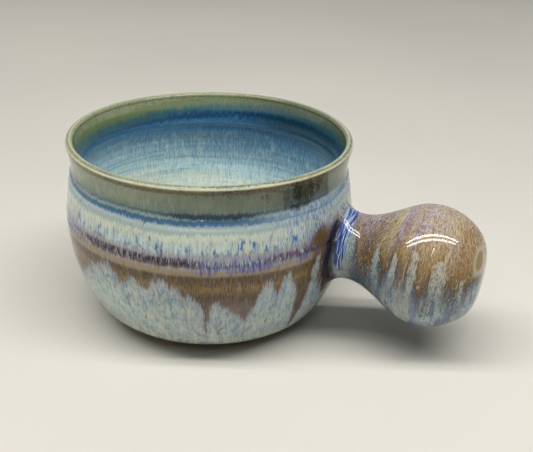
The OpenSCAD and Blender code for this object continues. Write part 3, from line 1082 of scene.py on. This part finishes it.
def rimCoat():
    material = newMaterial("rimGlaze")
    wall, liner = useGroup(wallColours), useGroup(linerColours)
    depth = readField("depth")
    # pale cream along the crest and along the lip's outer edge: partly the glaze thinning there, partly a
    # painted highlight
    uneven = streaks(readField("flow", True), 4, 4, 88, 3)
    thinGlazeAndHighlight = calc("MAXIMUM", times(around(depth, 0.1, 0.6), 0.5), around(depth, -2.1, 0.85))
    shade = layers(
        wall[0],
        (liner[0], (depth, -0.6, 1.2)),
        ("cream", thinGlazeAndHighlight, (uneven, 0.3, 0.5, 0.65, 1.0)))
    return surfaceFinish(material, shade, wall[1], wall[2])


def handleCoat():
    material = newMaterial("handleGlaze")
    wall, own = useGroup(wallColours), useGroup(handleColours)
    ring = readField("ring", True)
    hairs = roundStreaks(ring, 0.45, 9, 63, 2, 0.5, 0.3)
    away = drift(roundStreaks(ring, 0.8, 6, 3, 3, 0.6, 0.5), 3.0, readField("fromWall"))
    # the cobalt ring round the handle's root, with dark and white hairs in it
    band = times(around(away, 3.4, 3.5), ease(readField("neckTurn"), -0.7, 0.3))
    shade = layers(
        wall[0],
        (own[0], (away, 0.6, 3.0)),
        ("cobalt", (band, 0.1, 0.6, 0.0, 0.95)),
        ("night", (band, 0, 0.5), (hairs, 0.47, 0.38)),
        ("ice", (band, 0, 0.4), (hairs, 0.51, 0.6), 0.9))
    return surfaceFinish(material, shade, own[1], own[2])


stoneLook = {
    "body": (176, 150, 118),
    "dark": (138, 110, 82),
    "iron": (84, 58, 40),
    # how many marks there are to a metre, about
    "clouds": 60,
    "grog": 900,
    "flecks": 1600,
    "turnedRings": 260,
    "rough": (0.72, 0.9),
    # the bump's strength and its depth in metres, and the clay's index of refraction
    "bump": (0.5, 0.0003, 1.45),
}


def stoneware():
    material = newMaterial("stoneware")
    place = addNode("ShaderNodeTexCoord").outputs["Object"]
    body, dark, iron = (color(*stoneLook[name]) for name in ("body", "dark", "iron"))
    grog = grain(place, stoneLook["grog"], 3, 0.6)
    rings = {"Vector": place, "Scale": stoneLook["turnedRings"], "Distortion": 1.2, "Detail": 2}
    turned = addNode("ShaderNodeTexWave", rings, wave_type="RINGS", rings_direction="Z").outputs["Fac"]
    shade = layers(
        body,
        (dark, (grain(place, stoneLook["clouds"], 3, 0.5), 0.35, 0.65)),
        (iron, (grain(place, stoneLook["flecks"], 1, 0.5), 0.66, 0.72)))
    height = calc("MULTIPLY_ADD", grog, 0.6, calc("MULTIPLY", turned, 0.4))
    rough = ease(grog, 0.3, 0.7, *stoneLook["rough"])
    return surfaceFinish(material, shade, rough, height, *stoneLook["bump"])


clay = stoneware()
print("glazes mixed")


def standIn(obj, nodeName, material):
    # the piece is shown in place of its CAD node
    obj.data.materials.append(material)
    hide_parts(nodeName)
    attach(obj, "root")


def potCoat(name, nodeName, startRun, endRun, step, sides, material, closed=False):
    rows = max(3, int(round((endRun - startRun) / step)))
    run = np.linspace(startRun, endRun - (pot["middleGap"] if closed else 0), rows)[:, None]
    angle = angles[None] + 0 * run
    run = run + 0 * angle
    outer, inner = (potPoint(angle, run, depth) for depth in (0, coatDepth))
    normals = potNormals(angle, run)
    tips = None
    if closed:
        tips = [potPoint(np.array(0.0), np.array(sectionEnd), depth) for depth in (0, coatDepth)]
    fields = innerFields(angle, run) if "inside" in sides else {}
    if "outside" in sides:
        fields.update(outerFields(angle, run, outer))
    standIn(shellMesh(name, outer, normals, inner, fields, tips), nodeName, material)


glazeStart = runAtHeight(pot["glazeStart"])
rimSeam = runAtHeight(lipTop - pot["rimSeamDrop"])
linerSeam = runAtHeight(lipTop - pot["linerSeamDrop"], False)
potCoat("glazeWall", "wall_glaze", glazeStart, rimSeam, pot["wallStep"], "outside",
        oneCoat("wallGlaze", wallColours))
potCoat("glazeRim", "rim_glaze", rimSeam, linerSeam, pot["rimStep"], "inside and outside", rimCoat())
potCoat("glazeLiner", "liner_glaze", linerSeam, sectionEnd, pot["linerStep"], "inside",
        oneCoat("linerGlaze", linerColours), True)
print("three coats on the bowl")


def makeClayBowl():
    # the bare foot ring and recess, and above them the clay one coat below the skin
    recess, bevel = pot["footRecess"], pot["footBevel"]
    ring, inner = pot["footRadius"] - pot["footHeight"], pot["footRadius"] - pot["footRing"]
    foot = evenPath(np.array([
        [0.7, recess], [inner - 1.2, recess], [inner - 0.5, recess - 0.2], [inner, recess - bevel],
        [inner + 0.1, bevel], [inner + bevel, 0], [ring - bevel, 0], [ring, bevel],
        [pot["footRadius"] - 0.2, pot["footHeight"] - 0.5]]), 0.5)
    turn = angles[::2]
    run = np.concatenate([[0.4, 1.2], np.arange(2.2, sectionEnd - pot["middleGap"], pot["clayStep"])])
    middle = np.interp(run[-1], sectionRun, section[:, 1] - sectionOut[:, 1] * coatThick)
    run = run[:, None] + 0 * turn
    skin = potPoint(turn[None] + 0 * run, run, coatThick)
    points = np.concatenate([onCircle(turn, foot[:, :1], foot[:, 1:]), skin])
    rows, columns = points.shape[:2]
    count = rows * columns
    points = np.vstack([points.reshape(-1, 3), [0, 0, recess], [0, 0, middle]])
    faces = gridQuads(rows, columns).tolist()
    faces += fan(0, columns, count, True) + fan(count - columns, columns, count + 1)
    standIn(newObject("clayBowl", smoothMesh("clayBowl", points, faces)), "bowl", clay)


makeClayBowl()
print("clay bowl under them")

handlePoints, handleRun = handleSurface(turns)
handleNormals = crossed(np.roll(handlePoints, -1, 1) - np.roll(handlePoints, 1, 1),
                        np.gradient(handlePoints, axis=0))


def makeHandleCoat():
    # the first rows sink into the wall's glaze, so that no edge shows
    sunk = handlePoints.copy()
    for row, depth in enumerate(knob["hemSunk"]):
        sunk[row] -= handleNormals[row] * depth
    fields = handleFields(turns[None], handlePoints, (handlePoints - axisStart) @ axisWay, handleRun)
    tip = axisStart + axisWay * knobPath[-1, 0]
    tips = (tip - axisWay * knob["setBack"], tip - axisWay * coatThick)
    obj = shellMesh("glazeHandle", sunk, handleNormals, sunk - handleNormals * coatDepth, fields, tips)
    standIn(obj, "handle_glaze", handleCoat())


def makeCoil():
    # the clay of the fillet, one coat below the skin, pressed against neck and wall
    rows = len(knob["hemRows"]) + knob["filletRows"]
    outer = (handlePoints - handleNormals * coatThick)[:rows]
    local = outer - axisStart
    along = local @ axisWay
    side = local - along[..., None] * axisWay
    side /= np.linalg.norm(side, axis=-1)[..., None]
    pressed = knob["coilPress"]
    radius = knob["neckRadius"] - coatThick - pressed
    inner = axisStart + (along - pressed)[..., None] * axisWay + side * radius
    standIn(shellMesh("clayCoil", outer, handleNormals[:rows], inner, {}), "luting_coil", clay)


makeHandleCoat()
makeCoil()
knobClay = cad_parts["handle"]
knobClay.data.materials.clear()
knobClay.data.materials.append(clay)
print("handle and its coat")

tubeTint = (1.0, 0.985, 0.96)
tubeWay = (1.0, 0.34, 0.0)
studio = {
    "floorColor": (228, 225, 216),
    "floorShade": (220, 217, 209),
    "floorRough": 0.75,
    "floorHalf": 6.0,
    "floorFade": (1.15, 2.1),
    "skyColor": (208, 207, 203),
    "skyStrength": 0.03,
    # area lamps: name, place, what they point at, width, height, watts, tint, and the way the width lies
    "lamps": [
        ("tube1", (0.1, -0.18, 1.24), (0.1, -0.18, 0.0), 2.4, 0.095, 12.2, tubeTint, tubeWay),
        ("tube2", (0.1, -0.396, 1.24), (0.1, -0.396, 0.0), 2.4, 0.095, 12.2, tubeTint, tubeWay),
        ("ceiling", (0.0, 1.1, 2.1), (0.0, 0.0, 0.0), 2.6, 2.6, 3.6, (1.0, 0.99, 0.97), None),
        ("strip", (0.37, -0.98, 1.2), (0.1, 0.0, 0.05), 0.5, 0.03, 0.9, tubeTint, (0.0, 1.0, 0.0)),
        ("side", (-1.7, -0.3, 0.9), (0.0, 0.0, 0.05), 1.2, 1.2, 1.2, (1.0, 0.98, 0.95), None),
    ],
}


def studioFloor():
    half = studio["floorHalf"]
    mesh = bpy.data.meshes.new("floor")
    corners = [(-half, -half, 0), (half, -half, 0), (half, half, 0), (-half, half, 0)]
    mesh.from_pydata(corners, [], [(0, 1, 2, 3)])
    mesh.materials.append(newMaterial("paleFloor"))
    place = addNode("ShaderNodeTexCoord").outputs["Object"]
    tone = blendColor(ease(grain(place, 3, 2, 0.5), 0.3, 0.7), color(*studio["floorColor"]),
                      color(*studio["floorShade"]))
    matt = addNode("ShaderNodeBsdfPrincipled", {"Base Color": tone, "Roughness": studio["floorRough"]})
    # the floor thins out into the pale backdrop far from the mug
    away = addNode("ShaderNodeVectorMath", {0: place}, operation="LENGTH").outputs["Value"]
    clear = addNode("ShaderNodeBsdfTransparent")
    mixed = addNode("ShaderNodeMixShader", {0: ease(away, *studio["floorFade"]), 1: matt.outputs[0],
                                            2: clear.outputs[0]})
    addNode("ShaderNodeOutputMaterial", {0: mixed.outputs[0]})
    newObject("floor", mesh)


def aim(obj, place, right, up, back):
    obj.matrix_world = Matrix.Translation(place) @ Matrix((right, up, back)).transposed().to_4x4()


def areaLamp(name, place, target, width, height, power, tint, way):
    # without a way for its width, the lamp is turned upright
    lamp = bpy.data.lights.new(name, "AREA")
    lamp.shape = "RECTANGLE"
    lamp.size = width
    lamp.size_y = height
    lamp.energy = power
    lamp.color = tint
    obj = newObject(name, lamp)
    obj.location = place
    back = (Vector(place) - Vector(target)).normalized()
    if way is None:
        obj.rotation_mode = "QUATERNION"
        obj.rotation_quaternion = (-back).to_track_quat("-Z", "Y")
    else:
        side = (Vector(way) - back * back.dot(way)).normalized()
        aim(obj, Vector(place), side, back.cross(side), back)


studioFloor()
for lamp in studio["lamps"]:
    areaLamp(*lamp)

world = bpy.data.worlds.new("studio")
bpy.context.scene.world = world
world.use_nodes = True
world.node_tree.nodes.clear()
bench["tree"] = world.node_tree
ray = addNode("ShaderNodeLightPath").outputs
seen = calc("MAXIMUM", ray["Is Camera Ray"], ray["Is Glossy Ray"])
seen = calc("MAXIMUM", seen, ray["Is Transmission Ray"])
skyLevel = calc("MULTIPLY_ADD", seen, 1 - studio["skyStrength"], studio["skyStrength"])
sky = addNode("ShaderNodeBackground", {"Color": color(*studio["skyColor"]), "Strength": skyLevel})
addNode("ShaderNodeOutputWorld", {0: sky.outputs[0]})

view = {
    "azimuth": 19.5,
    "elevation": 24.89,
    "distance": 0.4418,
    "aimAlong": 0.02592,
    "aimHeight": 0.03955,
    "roll": 1.81,
    "lens": 64.84,
    "sensor": 36,
    "nearest": 0.02,
}


def studioCamera():
    a, e, lean = (math.radians(view[key]) for key in ("azimuth", "elevation", "roll"))
    back = Vector((math.sin(a) * math.cos(e), -math.cos(a) * math.cos(e), math.sin(e)))
    right = Vector((math.cos(a), math.sin(a), 0))
    up = back.cross(right)
    right, up = right * math.cos(lean) + up * math.sin(lean), up * math.cos(lean) - right * math.sin(lean)
    target = Vector((view["aimAlong"] * math.cos(a), view["aimAlong"] * math.sin(a), view["aimHeight"]))
    data = bpy.data.cameras.new("camera")
    data.sensor_width = view["sensor"]
    data.lens = view["lens"]
    data.clip_start = view["nearest"]
    obj = newObject("camera", data)
    aim(obj, target + back * view["distance"], right, up, back)
    bpy.context.scene.camera = obj


studioCamera()
bpy.context.scene.view_settings.view_transform = "Standard"
print("studio set up")
